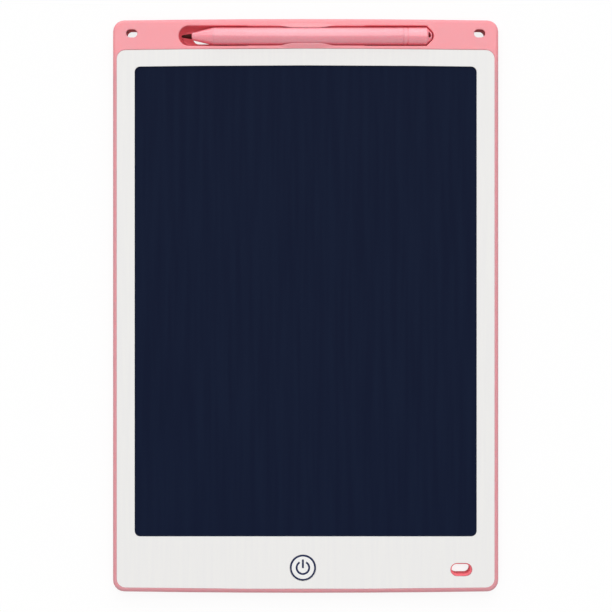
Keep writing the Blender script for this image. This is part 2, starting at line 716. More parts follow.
def smooth(piece):
    """Shade a round piece smooth, keep its corners sharp, and keep the flats beside its cuts flat."""
    piece.data.shade_smooth()
    piece.data.set_sharp_from_angle(angle=SHARP_ANGLE)
    if any(step.type == "BOOLEAN" for step in piece.modifiers):
        weigh = piece.modifiers.new("normals", "WEIGHTED_NORMAL")
        weigh.keep_sharp = True
    return piece


def case_outline(inset=0.0):
    """Outer edge of the case, drawn in by an inset."""
    return crowned_outline(CASE_HALF_WIDTH - inset, CASE_BOTTOM + inset, CASE_TOP - inset,
                           CASE_CORNER_RADIUS - inset, EDGE_CROWN, EDGE_CROWN)


def recess_outline(inset=0.0):
    """Edge of the recess that takes the panel, drawn in by an inset."""
    radius = max(RECESS_CORNER_RADIUS - inset, WELD_DISTANCE)
    return crowned_outline(RECESS_HALF_WIDTH - inset, RECESS_BOTTOM + inset, RECESS_TOP - inset,
                           radius, EDGE_CROWN, EDGE_CROWN)


def well_outline(inset=0.0, bottom_inset=0.0):
    """Edge of the opening that takes the film and its board."""
    return crowned_outline(WELL_HALF_WIDTH - inset, WELL_BOTTOM + inset + bottom_inset, WELL_TOP - inset,
                           WELL_CORNER_RADIUS)


def hang_hole(side, offset=0.0):
    """Outline of a corner hole."""
    return pill(side * HANG_HOLE_X, HANG_HOLE_Y, HANG_HOLE_LENGTH + 2 * offset, HANG_HOLE_WIDTH + 2 * offset)


def tether_hole(offset=0.0):
    """Outline of the tether hole in the panel."""
    return pill(TETHER_X, TETHER_Y, TETHER_LENGTH + 2 * offset, TETHER_WIDTH + 2 * offset)


def tether_bore(name, low_round, high_round):
    """Cutter for the tether hole's tapered bore, through both shells."""
    rim = TETHER_RIM_CLEARANCE + TETHER_RIM_WIDTH
    levels = flare_down(0.0, low_round, -rim - TETHER_TAPER)
    levels += flare_up(PANEL_TOP_Z, high_round, -rim - high_round)
    return flared(name, tether_hole, levels)


def lip_share(x):
    """How much of a snap lip there is at a place along the slot, from 0 to 1."""
    beyond = abs(x - LIP_CENTRE_X) - LIP_LENGTH / 2
    share = min(max(1 - beyond / LIP_BLEND, 0), 1)
    return share * share * (3 - 2 * share)


def slot_tail_end(offset):
    """Tail end of the pen slot as (x, half width): a round end that runs into a 45 degree cone."""
    corner = PEN_END_X - TAIL_CONE_LENGTH - TAIL_END_LENGTH
    cone_tip = corner + CRADLE_RADIUS
    lean = math.sqrt(2)
    centre = (lean * SLOT_TAIL_X - cone_tip) / (lean - 1)
    radius = SLOT_TAIL_X - centre + offset
    angles = [math.pi / 4 * i / CORNER_STEPS for i in range(CORNER_STEPS + 1)]
    points = [(centre + radius * math.cos(a), radius * math.sin(a)) for a in angles]
    return points + [(corner + offset * math.tan(math.pi / 8), CRADLE_RADIUS + offset)]


def waist_step(side, offset):
    """One end of the slot's waist, where the walls step in a little towards the pen."""
    end = WAIST_CENTRE_X + side * WAIST_LENGTH / 2
    wide = CRADLE_RADIUS + offset
    return [(end, wide), (end - side * WAIST_BLEND, wide - WAIST_STEP)][::side]


def lip_points(offset):
    """Waist of the pen slot, with points where the snap lips blend in and out."""
    shares = [i / CORNER_STEPS for i in range(CORNER_STEPS + 1)]
    blend_in = [LIP_CENTRE_X + LIP_LENGTH / 2 + LIP_BLEND * (1 - share) for share in shares]
    blend_out = [LIP_CENTRE_X - LIP_LENGTH / 2 - LIP_BLEND * share for share in shares]
    return [(x, CRADLE_RADIUS - WAIST_STEP + offset) for x in blend_in + blend_out]


def slot_nib_end(offset):
    """Round nib end of the pen slot."""
    centre_x = SLOT_NIB_X + CRADLE_RADIUS
    return arc(centre_x, 0.0, CRADLE_RADIUS + offset, math.pi / 2, math.pi, 2 * CORNER_STEPS)


def slot_side(offset):
    """Upper side of the pen slot's outline, from its tail end to its nib end."""
    middle = waist_step(1, offset) + lip_points(offset) + waist_step(-1, offset)
    return slot_tail_end(offset) + middle + slot_nib_end(offset)


def slot_ring(height, offset, lip_depth):
    """One level of the slot's mouth: both sides of the outline, drawn in where the lips are."""
    half_gap = CRADLE_RADIUS - lip_depth
    upper = []
    for x, side in slot_side(offset):
        share = lip_share(x)
        upper.append((x, side * (1 - share) + min(side, half_gap) * share))
    lower = [(x, -side) for x, side in reversed(upper[1:-1])]
    return [(x, PEN_Y + side, height) for x, side in upper + lower]


def slot_mouth(name):
    """Cutter for the slot above the pen's axis, with the snap lips and the rounded edge."""
    lip_depth = CRADLE_RADIUS - LIP_HALF_GAP
    rings = [
        slot_ring(PEN_HEIGHT - MOUTH_RUN_IN, -MOUTH_TUCK, 0.0),
        slot_ring(PEN_HEIGHT + EMBED, 0.0, 0.0),
        slot_ring(PEN_HEIGHT + LIP_START, 0.0, lip_depth),
    ]
    for z, offset in flare_up(CASE_THICKNESS, MOUTH_RADIUS):
        rings.append(slot_ring(z, offset, lip_depth))
    return stack(name, rings)


def slot_cradle(name):
    """Cutter for the round cradle that the pen lies in, turned about the pen's axis."""
    middle = waist_step(1, 0.0) + waist_step(-1, 0.0)
    side = slot_tail_end(0.0)[1:] + middle + slot_nib_end(0.0)[:-1]
    profile = [(0.0, SLOT_TAIL_X)] + [(radius, x) for x, radius in side] + [(0.0, SLOT_NIB_X)]
    tool = turned(name, profile)
    tool.location = (0, PEN_Y, PEN_HEIGHT)
    tool.rotation_euler = (0, math.pi / 2, 0)
    return tool


def slit_outline(offset=0.0):
    """Outline of the slit through the rear cover under the pen."""
    middle = (SLIT_NIB_X + SLIT_TAIL_X) / 2
    return pill(middle, PEN_Y, SLIT_TAIL_X - SLIT_NIB_X + 2 * offset, 2 * (SLIT_HALF_WIDTH + offset))


def hook_tool(name, grow, place_x, place_y, turn):
    """Wedge that stands out of the tongue, or with grow its pocket in the frame, turned about Z."""
    low = -grow
    high = HOOK_HEIGHT + grow
    depth = HOOK_DEPTH + grow
    if grow > 0:
        section = [(-EMBED, low), (depth, low), (depth, high), (-EMBED, high)]
    else:
        section = [(-EMBED, low), (depth, low), (depth, high * HOOK_CATCH_SHARE), (0.0, high), (-EMBED, high)]
    half = HOOK_LENGTH / 2 + grow
    wedge = plate(name, [section], -half, half)
    hook_low = TONGUE_TOP_Z - HOOK_HEIGHT - HOOK_CLEARANCE
    wedge.rotation_mode = "XYZ"
    wedge.rotation_euler = (math.pi / 2, 0, turn)
    wedge.location = (place_x, place_y, hook_low)
    return wedge


def hook_places(inset):
    """Where the hooks sit round the tongue, as (x, y, turn), on a face drawn in by an inset."""
    side_x = RECESS_HALF_WIDTH - inset
    low_y = RECESS_BOTTOM + inset
    places = []
    for share in HOOK_PLACE_SHARES:
        places.append((side_x, share * CASE_HEIGHT, 0.0))
        places.append((-side_x, share * CASE_HEIGHT, math.pi))
    for share in BOTTOM_HOOK_PLACE_SHARES:
        x = share * CASE_HALF_WIDTH
        bow = EDGE_CROWN * share ** 2
        places.append((x, low_y + bow, -math.pi / 2))
    return places


def pocket_tool(name, side):
    """Cutter that cores out the top bar between the slot's end and the side, round the hole's boss."""
    slot_end = abs(SLOT_NIB_X) if side < 0 else SLOT_TAIL_X
    inner = slot_end + CRADLE_WALL + MOUTH_RADIUS
    outer = CASE_HALF_WIDTH - SIDE_RIM - POCKET_MARGIN
    low = RECESS_TOP + POCKET_MARGIN
    high = CASE_TOP - EDGE_CROWN - SIDE_RIM - POCKET_TOP_MARGIN
    room = rounded_box(side * (inner + outer) / 2, (low + high) / 2, outer - inner, high - low, POCKET_RADIUS)
    boss = hang_hole(side, HANG_BOSS_WALL)
    return plate(name, [room, boss], FRAME_LOW_Z - OVERRUN, CASE_THICKNESS - TOP_BAR_SKIN)


def build_front_frame():
    """Front moulding: rims, panel ledge, top bar with the pen slot, and the tether rim."""
    frame = slab("front_frame", case_outline(), FRAME_LOW_Z, CASE_THICKNESS, high_radius=FRONT_EDGE_RADIUS)
    keel_length = SLOT_TAIL_X - SLOT_NIB_X + 2 * CRADLE_WALL
    keel = pill((SLOT_NIB_X + SLOT_TAIL_X) / 2, PEN_Y, keel_length, 2 * (CRADLE_RADIUS + KEEL_WALL))
    cut(frame,
        plate("panel_recess_cut", [recess_outline()], LEDGE_TOP_Z, CASE_THICKNESS + OVERRUN),
        plate("well_cut", [well_outline()], LEDGE_LOW_Z - OVERRUN, LEDGE_TOP_Z + OVERRUN),
        plate("cavity_cut", [recess_outline()], FRAME_LOW_Z - OVERRUN, LEDGE_LOW_Z))
    join(frame, plate("keel_add", [keel], KEEL_LOW_Z, FRAME_LOW_Z + OVERRUN))
    rim = tether_hole(-TETHER_RIM_CLEARANCE)
    join(frame, plate("tether_rim_add", [rim], FRAME_LOW_Z, PANEL_TOP_Z))
    cut(frame,
        slot_cradle("cradle_cut"),
        slot_mouth("slot_mouth_cut"),
        tether_bore("frame_tether_cut", HANG_HOLE_ROUND, TETHER_RIM_ROUND),
        plate("key_flange_cut", [circle(KEY_X, KEY_Y, KEY_FLANGE_RADIUS + KEY_FLANGE_CLEARANCE)],
              LEDGE_LOW_Z - OVERRUN, LEDGE_TOP_Z + OVERRUN))
    notch_half = TAIL_WIDTH / 2 + TAIL_NOTCH_MARGIN
    tail_x = KEY_X + TAIL_SHIFT_X
    cut(frame, solid_box("tail_notch_cut", tail_x - notch_half, tail_x + notch_half,
                         WELL_BOTTOM - TAIL_NOTCH_DEPTH, WELL_BOTTOM + OVERRUN,
                         LEDGE_LOW_Z - OVERRUN, LEDGE_TOP_Z + OVERRUN))
    for side, label in ((-1, "left"), (1, "right")):
        levels = [(FRAME_LOW_Z - OVERRUN, 0.0)] + flare_up(CASE_THICKNESS, HANG_HOLE_ROUND)
        hole = flared(label + "_hang_hole_cut", lambda offset, s=side: hang_hole(s, offset), levels)
        cut(frame, hole, pocket_tool(label + "_pocket_cut", side))
    for i, (x, y, turn) in enumerate(hook_places(0.0)):
        cut(frame, hook_tool("hook_pocket_cut_%d" % i, HOOK_CLEARANCE, x, y, turn))
    return finish(smooth(frame), PINK_FRAME, 0.45)


def rib_loops():
    """Outline of the rib field and of the openings between its ribs."""
    half = RECESS_HALF_WIDTH - TONGUE_CLEARANCE - TONGUE_THICKNESS + EMBED
    low = SCREEN_BOTTOM + RIB_FIELD_BOTTOM_GAP
    high = RECESS_TOP - RIB_FIELD_TOP_GAP
    cell_x = (2 * half - RIB_THICKNESS) / RIB_COLUMNS
    cell_y = (high - low - RIB_THICKNESS) / RIB_ROWS
    loops = [box_outline(-half, half, low, high)]
    for row in range(RIB_ROWS):
        for column in range(RIB_COLUMNS):
            right = -half + (column + 1) * cell_x
            back = low + (row + 1) * cell_y
            left = right - cell_x + RIB_THICKNESS
            loops.append(box_outline(left, right, back - cell_y + RIB_THICKNESS, back))
    return loops


def door_outline(offset=0.0):
    """Outline of the battery door, grown by an offset."""
    width = DOOR_REACH_HINGE + DOOR_REACH_SCREW
    middle = CELL_X + (DOOR_REACH_SCREW - DOOR_REACH_HINGE) / 2
    return rounded_box(middle, CELL_Y, width + 2 * offset, 2 * (DOOR_HALF_DEPTH + offset),
                       DOOR_CORNER_RADIUS + offset)


def knob_outline(length, width):
    """Outline of the lock knob's nub or flange at rest."""
    return rounded_box(LOCK_REST_X, KNOB_Y, length, width, KNOB_CORNER_RADIUS, ROUND_STEPS)


def build_rear_cover():
    """Rear moulding: tray, tongue with snap hooks, ribs, bosses, battery bay and holes."""
    cover = slab("rear_cover", case_outline(), 0.0, PARTING_HEIGHT, low_radius=REAR_EDGE_RADIUS)
    inner = TONGUE_CLEARANCE + TONGUE_THICKNESS
    tray = crowned_outline(RECESS_HALF_WIDTH - inner, RECESS_BOTTOM + inner, CASE_TOP - SIDE_RIM,
                           RECESS_CORNER_RADIUS, EDGE_CROWN, EDGE_CROWN)
    cut(cover, plate("tray_cut", [tray], FLOOR_THICKNESS, PARTING_HEIGHT + OVERRUN))
    tongue = plate("tongue_add", [recess_outline(TONGUE_CLEARANCE), recess_outline(inner)],
                   PARTING_HEIGHT - EMBED, TONGUE_TOP_Z)
    cut(tongue, solid_box("tongue_end_cut", -CASE_HALF_WIDTH, CASE_HALF_WIDTH, WELL_TOP - TONGUE_TOP_GAP,
                          CASE_TOP, FLOOR_THICKNESS, CASE_THICKNESS))
    join(cover, tongue)
    for i, (x, y, turn) in enumerate(hook_places(TONGUE_CLEARANCE)):
        join(cover, hook_tool("hook_add_%d" % i, 0.0, x, y, turn))
    seat = FLOOR_THICKNESS - EMBED
    join(cover, plate("ribs_add", rib_loops(), seat, RIB_TOP_Z))
    add_bosses(cover, seat)
    add_battery_bay(cover, seat)
    cut_cover_holes(cover)
    return finish(smooth(cover), PINK_FRAME, 0.5)


def add_bosses(cover, seat):
    """Screw posts under the circuit board, and the walls round the through holes."""
    boss_radius = SCREW_HOLE_RADIUS + SCREW_BOSS_WALL
    for i, (x, y) in enumerate(CIRCUIT_SCREW_PLACES):
        boss = circle(x, y, boss_radius, SMALL_TURN_STEPS)
        bore = circle(x, y, SCREW_HOLE_RADIUS, SMALL_TURN_STEPS)
        join(cover, plate("screw_boss_add_%d" % i, [boss], seat, CIRCUIT_HEIGHT - SCREW_BOSS_CLEARANCE))
        cut(cover, plate("screw_bore_cut_%d" % i, [bore], SCREW_FLOOR_SKIN, CIRCUIT_HEIGHT))
    for side, label in ((-1, "left"), (1, "right")):
        join(cover, plate(label + "_hang_boss_add", [hang_hole(side, HANG_BOSS_WALL)], seat, PARTING_HEIGHT))
    join(cover, plate("tether_boss_add", [tether_hole(TETHER_BOSS_WALL)], seat, PARTING_HEIGHT))


def add_battery_bay(cover, seat):
    """Battery bay: a thickened pad, the ring wall with its contact gap, and the door screw's boss."""
    bay_wall_radius = BAY_RADIUS + BAY_WALL
    join(cover, plate("bay_pad_add", [door_outline(BAY_PAD_MARGIN)], seat, BAY_PAD_HEIGHT))
    ring = plate("bay_ring_add", [circle(CELL_X, CELL_Y, bay_wall_radius)], seat, BAY_HEIGHT)
    join(cover, ring)
    boss = circle(DOOR_SCREW_X, CELL_Y, SCREW_HEAD_RADIUS + SCREW_BOSS_WALL, SMALL_TURN_STEPS)
    join(cover, plate("door_boss_add", [boss], seat, DOOR_BOSS_HEIGHT))
    cut(cover,
        solid_box("bay_gap_cut", CELL_X - bay_wall_radius - OVERRUN, CELL_X, CELL_Y - BAY_GAP_HALF_WIDTH,
                  CELL_Y + BAY_GAP_HALF_WIDTH, BAY_PAD_HEIGHT + BAY_GAP_SILL, BAY_HEIGHT + OVERRUN),
        plate("bay_bore_cut", [circle(CELL_X, CELL_Y, BAY_RADIUS)], -OVERRUN, BAY_HEIGHT + OVERRUN),
        plate("door_recess_cut", [door_outline(DOOR_CLEARANCE)], -OVERRUN, DOOR_RECESS_Z))
    bore_radius = SCREW_HOLE_RADIUS + DOOR_SCREW_SWING
    bore = circle(DOOR_SCREW_X, CELL_Y, bore_radius, SMALL_TURN_STEPS)
    cut(cover, plate("door_screw_bore_cut", [bore], DOOR_LOW_Z, DOOR_BOSS_HEIGHT - SCREW_FLOOR_SKIN))
    for side, label in ((-1, "front"), (1, "back")):
        middle = CELL_Y + side * DOOR_TAB_SPREAD
        half = DOOR_TAB_WIDTH / 2 + DOOR_TAB_CLEARANCE
        left = DOOR_HINGE_X - DOOR_TAB_LENGTH - DOOR_TAB_CLEARANCE
        cut(cover, solid_box(label + "_tab_slot_cut", left, DOOR_HINGE_X + DOOR_TAB_CLEARANCE,
                             middle - half, middle + half, DOOR_TAB_SKIN, BAY_PAD_HEIGHT + OVERRUN))


def cut_cover_holes(cover):
    """Slit under the pen, corner holes, tether hole and the lock knob's window."""
    slit_levels = flare_down(0.0, MOUTH_RADIUS) + [(FLOOR_THICKNESS + OVERRUN, 0.0)]
    cut(cover, flared("slit_cut", slit_outline, slit_levels))
    for side, label in ((-1, "left"), (1, "right")):
        levels = flare_down(0.0, HANG_HOLE_ROUND) + [(PARTING_HEIGHT + OVERRUN, 0.0)]
        cut(cover, flared(label + "_rear_hole_cut", lambda offset, s=side: hang_hole(s, offset), levels))
    cut(cover, tether_bore("cover_tether_cut", HANG_HOLE_ROUND, TETHER_RIM_ROUND))
    window_length = KNOB_LENGTH + LOCK_TRAVEL + 2 * KNOB_CLEARANCE
    window = rounded_box(LOCK_X, KNOB_Y, window_length, KNOB_WIDTH + 2 * KNOB_CLEARANCE,
                         KNOB_CORNER_RADIUS + KNOB_CLEARANCE, ROUND_STEPS)
    cut(cover, plate("knob_window_cut", [window], -OVERRUN, FLOOR_THICKNESS + OVERRUN))


def screen_outline():
    """Outline of the screen window."""
    return crowned_outline(SCREEN_WIDTH / 2, SCREEN_BOTTOM, SCREEN_TOP, SCREEN_CORNER_RADIUS,
                           0.0, SCREEN_TOP_CROWN)


def build_panel_and_tape():
    """White front panel with its window and holes, and the tape ring that bonds it to the frame."""
    key_hole = circle(KEY_X, KEY_Y, KEY_RADIUS + KEY_HOLE_CLEARANCE)
    panel = plate("front_panel", [recess_outline(PANEL_CLEARANCE), screen_outline(), key_hole, tether_hole()],
                  PANEL_LOW_Z, PANEL_TOP_Z)
    finish(smooth(panel), WHITE_PANEL, 0.4)
    middle = (PANEL_LOW_Z + LEDGE_TOP_Z) / 2
    tape = plate("panel_tape", [recess_outline(TAPE_EDGE), well_outline(-TAPE_EDGE)],
                 middle - TAPE_THICKNESS / 2, middle + TAPE_THICKNESS / 2)
    flange_room = circle(KEY_X, KEY_Y, KEY_FLANGE_RADIUS + KEY_FLANGE_CLEARANCE)
    cut(tape,
        plate("tape_key_cut", [flange_room], LEDGE_TOP_Z, PANEL_TOP_Z),
        plate("tape_tether_cut", [tether_hole(TAPE_EDGE)], LEDGE_TOP_Z, PANEL_TOP_Z))
    notch_half = TAIL_WIDTH / 2 + TAIL_NOTCH_MARGIN
    tail_x = KEY_X + TAIL_SHIFT_X
    cut(tape, solid_box("tape_tail_cut", tail_x - notch_half, tail_x + notch_half,
                        WELL_BOTTOM - TAIL_NOTCH_DEPTH, WELL_BOTTOM + OVERRUN, LEDGE_TOP_Z, PANEL_TOP_Z))
    finish(tape, TAPE_WHITE, 0.7)


def build_display():
    """Front film, rear film with its bare contact strip, and the stiff board behind them."""
    front = plate("lcd_front_film", [well_outline(FILM_EDGE_CLEARANCE, FILM_CONTACT_STRIP)],
                  FRONT_FILM_LOW_Z, FRONT_FILM_TOP_Z)
    finish(smooth(front), SCREEN_NAVY, 0.3)
    rear = plate("lcd_rear_film", [well_outline(FILM_EDGE_CLEARANCE)], REAR_FILM_LOW_Z, REAR_FILM_TOP_Z)
    finish(smooth(rear), FILM_GREY, 0.4)
    board = plate("backing_board", [well_outline(FILM_EDGE_CLEARANCE)], BOARD_LOW_Z, BOARD_TOP_Z)
    finish(smooth(board), BOARD_GREY, 0.6)


def strip(name, path, half_width, thickness):
    """Bent strip: an open path in its own XY plane, extruded along its own Z and thickened."""
    line = bpy.data.curves.new(name + "_path", "CURVE")
    line.dimensions = "3D"
    line.extrude = half_width
    spline = line.splines.new("POLY")
    spline.points.add(len(path) - 1)
    for knot, (x, y) in zip(spline.points, path):
        knot.co = (x, y, 0, 1)
    holder = bpy.data.objects.new(name + "_path", line)
    CUTTERS.objects.link(holder)
    bpy.context.view_layer.update()
    mesh = bpy.data.meshes.new_from_object(holder.evaluated_get(bpy.context.evaluated_depsgraph_get()))
    bpy.data.objects.remove(holder)
    item = bpy.data.objects.new(name, mesh)
    CUTTERS.objects.link(item)
    wall = item.modifiers.new("thickness", "SOLIDIFY")
    wall.thickness = thickness
    wall.offset = 0.0
    wall.use_even_offset = True
    return item


def build_film_tail():
    """Flexible tail from the rear film's contact strip down to the circuit board."""
    start_y = WELL_BOTTOM + FILM_EDGE_CLEARANCE + TAIL_OVERLAP
    high_z = REAR_FILM_TOP_Z + LAYER_GAP / 2 + TAIL_THICKNESS / 2
    low_z = CIRCUIT_TOP_Z + LAYER_GAP + TAIL_THICKNESS / 2
    drop_y = WELL_BOTTOM - TAIL_DROP
    path = [(start_y, high_z), (drop_y + TAIL_BEND, high_z), (drop_y, high_z - TAIL_BEND),
            (drop_y - TAIL_BEND, low_z + TAIL_BEND), (drop_y - 2 * TAIL_BEND, low_z),
            (CIRCUIT_BACK - TAIL_LANDING, low_z)]
    tail = strip("lcd_flex_tail", path, TAIL_WIDTH / 2, TAIL_THICKNESS)
    tail.rotation_euler = (math.pi / 2, 0, math.pi / 2)
    tail.location = (KEY_X + TAIL_SHIFT_X, 0, 0)
    finish(tail, POLYIMIDE_AMBER, 0.4)


def build_circuit_board():
    """Circuit board with its three screw holes."""
    holes = [circle(x, y, SCREW_HOLE_RADIUS, SMALL_TURN_STEPS) for x, y in CIRCUIT_SCREW_PLACES]
    edge = rounded_box(CIRCUIT_X, CIRCUIT_Y, CIRCUIT_WIDTH, CIRCUIT_DEPTH, CIRCUIT_CORNER_RADIUS)
    board = plate("circuit_board", [edge] + holes, CIRCUIT_HEIGHT, CIRCUIT_TOP_Z)
    finish(board, CIRCUIT_GREEN, 0.45)


def board_place(shares):
    """Place on the circuit board, from shares of its width and depth."""
    return CIRCUIT_X + shares[0] * CIRCUIT_WIDTH, CIRCUIT_Y + shares[1] * CIRCUIT_DEPTH


def component(name, size, shares, colour, roughness):
    """Block-shaped component with softened edges."""
    width, depth, height = size
    x, y = board_place(shares)
    block = solid_box(name, x - width / 2, x + width / 2, y - depth / 2, y + depth / 2,
                      COMPONENT_LOW_Z, COMPONENT_LOW_Z + height)
    soften = block.modifiers.new("edges", "BEVEL")
    soften.width = COMPONENT_BEVEL
    soften.segments = 1
    return finish(block, colour, roughness)


def build_components():
    """Driver chip, boost inductor, diode, capacitors and resistors."""
    component("driver_chip", CHIP_SIZE, CHIP_PLACE_SHARES, CHIP_BLACK, 0.5)
    component("boost_diode", DIODE_SIZE, DIODE_PLACE_SHARES, CHIP_BLACK, 0.5)
    for i, shares in enumerate(CAPACITOR_PLACE_SHARES):
        component("ceramic_capacitor_%d" % (i + 1), CAPACITOR_SIZE, shares, CERAMIC_TAN, 0.6)
    for i, shares in enumerate(RESISTOR_PLACE_SHARES):
        component("chip_resistor_%d" % (i + 1), RESISTOR_SIZE, shares, CHIP_BLACK, 0.5)
    high = INDUCTOR_HEIGHT
    profile = [(0.0, high), (INDUCTOR_RADIUS, high), (INDUCTOR_RADIUS, high - INDUCTOR_FLANGE),
               (INDUCTOR_WAIST_RADIUS, high - INDUCTOR_FLANGE), (INDUCTOR_WAIST_RADIUS, INDUCTOR_FLANGE),
               (INDUCTOR_RADIUS, INDUCTOR_FLANGE), (INDUCTOR_RADIUS, 0.0), (0.0, 0.0)]
    inductor = turned("boost_inductor", profile, SMALL_TURN_STEPS)
    inductor.location = (*board_place(INDUCTOR_PLACE_SHARES), COMPONENT_LOW_Z)
    finish(smooth(inductor), FERRITE_GREY, 0.7)


def screw(name, length, place, upside_down=False):
    """Small pan-head screw with a cross recess. Its place is the seat under its head."""
    profile = [(0.0, SCREW_HEAD_HEIGHT), (SCREW_HEAD_FLAT_RADIUS, SCREW_HEAD_HEIGHT),
               (SCREW_HEAD_RADIUS, SCREW_HEAD_HEIGHT / 2), (SCREW_HEAD_RADIUS, 0.0),
               (SCREW_SHANK_RADIUS, 0.0), (SCREW_SHANK_RADIUS, SCREW_TIP_LENGTH - length),
               (0.0, -length)]
    item = turned(name, profile, SMALL_TURN_STEPS)
    for label, (half_x, half_y) in (("a", (SCREW_DRIVE_LENGTH / 2, SCREW_DRIVE_WIDTH / 2)),
                                    ("b", (SCREW_DRIVE_WIDTH / 2, SCREW_DRIVE_LENGTH / 2))):
        slot = solid_box(name + "_drive_" + label, -half_x, half_x, -half_y, half_y,
                         SCREW_HEAD_HEIGHT - SCREW_DRIVE_DEPTH, SCREW_HEAD_HEIGHT + OVERRUN)
        slot.location = place
        if upside_down:
            slot.rotation_euler = (math.pi, 0, 0)
        cut(item, slot)
    item.location = place
    if upside_down:
        item.rotation_euler = (math.pi, 0, 0)
    return finish(smooth(item), STEEL, 0.3, 1.0)


def build_circuit_screws():
    """Three screws that hold the circuit board down on its posts."""
    for i, (x, y) in enumerate(CIRCUIT_SCREW_PLACES):
        screw("circuit_screw_%d" % (i + 1), SCREW_LENGTH, (x, y, CIRCUIT_TOP_Z + SCREW_SEAT_GAP))


def build_erase_key():
    """Erase key cap with its flange and stem, and the tact switch under it."""
    top = KEY_TOP_Z
    flange_low = KEY_FLANGE_LOW_Z
    profile = [(0.0, top - KEY_DISH_DEPTH), (KEY_DISH_RADIUS, top - KEY_DISH_DEPTH),
               (KEY_RADIUS - 2 * KEY_EDGE_RADIUS, top), (KEY_RADIUS - KEY_EDGE_RADIUS, top),
               (KEY_RADIUS, top - KEY_EDGE_RADIUS), (KEY_RADIUS, KEY_FLANGE_TOP_Z),
               (KEY_FLANGE_RADIUS, KEY_FLANGE_TOP_Z), (KEY_FLANGE_RADIUS, flange_low),
               (KEY_STEM_RADIUS, flange_low), (KEY_STEM_RADIUS, KEY_STEM_LOW_Z), (0.0, KEY_STEM_LOW_Z)]
    cap = turned("erase_key_cap", profile)
    cap.location = (KEY_X, KEY_Y, 0)
    finish(smooth(cap), KEY_WHITE, 0.4)
    well_radius = PLUNGER_RADIUS + PLUNGER_CLEARANCE
    half = TACT_WIDTH / 2
    body = solid_box("tact_switch_body", KEY_X - half, KEY_X + half, KEY_Y - half, KEY_Y + half,
                     COMPONENT_LOW_Z, TACT_TOP_Z)
    cut(body, plate("plunger_well_cut", [circle(KEY_X, KEY_Y, well_radius, SMALL_TURN_STEPS)],
                    TACT_TOP_Z - PLUNGER_WELL_DEPTH, TACT_TOP_Z + OVERRUN))
    finish(body, STEEL, 0.35, 1.0)
    plunger_low = TACT_TOP_Z - PLUNGER_WELL_DEPTH + KEY_TRAVEL + PLUNGER_GAP
    plunger = turned("tact_switch_plunger", [(0.0, PLUNGER_TOP_Z), (PLUNGER_RADIUS, PLUNGER_TOP_Z),
                                             (PLUNGER_RADIUS, plunger_low), (0.0, plunger_low)],
                     SMALL_TURN_STEPS)
    plunger.location = (KEY_X, KEY_Y, 0)
    finish(smooth(plunger), SWITCH_BLACK, 0.5)


def build_lock_switch():
    """Lock switch on the board's front edge, its lever, and the knob that shows on the back."""
    width, depth, height = LOCK_BODY_SIZE
    body = solid_box("lock_switch_body", LOCK_X - width / 2, LOCK_X + width / 2, LOCK_BODY_Y - depth / 2,
                     LOCK_BODY_Y + depth / 2, COMPONENT_LOW_Z, COMPONENT_LOW_Z + height)
    lever_back = CIRCUIT_FRONT - LEVER_REACH + LEVER_LENGTH
    slot_half = (LEVER_WIDTH + LOCK_TRAVEL) / 2 + LEVER_CLEARANCE
    cut(body, solid_box("lever_slot_cut", LOCK_X - slot_half, LOCK_X + slot_half,
                        CIRCUIT_FRONT - OVERRUN, lever_back + LEVER_CLEARANCE,
                        LEVER_LOW_Z - LEVER_CLEARANCE, LEVER_LOW_Z + LEVER_THICKNESS + LEVER_CLEARANCE))
    finish(body, STEEL, 0.35, 1.0)
    lever = solid_box("lock_switch_lever", LOCK_REST_X - LEVER_WIDTH / 2, LOCK_REST_X + LEVER_WIDTH / 2,
                      CIRCUIT_FRONT - LEVER_REACH, lever_back, LEVER_LOW_Z, LEVER_LOW_Z + LEVER_THICKNESS)
    shift_origin(lever, (LOCK_REST_X, CIRCUIT_FRONT, LEVER_LOW_Z))
    finish(lever, SWITCH_WHITE, 0.5)
    build_lock_knob()


def build_lock_knob():
    """Ribbed lock knob: nub in its window, flange inside the cover, and a fork round the lever."""
    flange_length = KNOB_LENGTH + 2 * (2 * KNOB_CLEARANCE + LOCK_TRAVEL + KNOB_FLANGE_MARGIN)
    flange_width = KNOB_WIDTH + 2 * (KNOB_CLEARANCE + KNOB_FLANGE_SIDE_MARGIN)
    knob = plate("lock_knob", [knob_outline(KNOB_LENGTH, KNOB_WIDTH)], KNOB_SINK, KNOB_FLANGE_LOW_Z + EMBED)
    flange_top = KNOB_FLANGE_LOW_Z + KNOB_FLANGE_THICKNESS
    flange = knob_outline(flange_length, flange_width)
    join(knob, plate("knob_flange_add", [flange], KNOB_FLANGE_LOW_Z, flange_top))
    inner = LEVER_WIDTH / 2 + FORK_CLEARANCE
    outer = inner + FORK_THICKNESS
    fork_back = CIRCUIT_FRONT - LEVER_REACH + FORK_DEPTH - FORK_CLEARANCE
    for side, label in ((-1, "left"), (1, "right")):
        edges = sorted((LOCK_REST_X + side * inner, LOCK_REST_X + side * outer))
        join(knob, solid_box(label + "_fork_add", edges[0], edges[1], fork_back - FORK_DEPTH, fork_back,
                             flange_top - EMBED, LEDGE_LOW_Z - FORK_TOP_GAP))
    pitch = KNOB_LENGTH / (KNOB_GRIPS + 1)
    for i in range(KNOB_GRIPS):
        x = LOCK_REST_X - KNOB_LENGTH / 2 + pitch * (i + 1)
        cut(knob, solid_box("knob_grip_cut_%d" % i, x - KNOB_GRIP_WIDTH / 2, x + KNOB_GRIP_WIDTH / 2,
                            KNOB_Y - KNOB_WIDTH, KNOB_Y + KNOB_WIDTH,
                            KNOB_SINK - OVERRUN, KNOB_SINK + KNOB_GRIP_DEPTH))
    shift_origin(knob, (LOCK_REST_X, KNOB_Y, KNOB_FLANGE_LOW_Z))
    finish(knob, PINK_FRAME, 0.5)


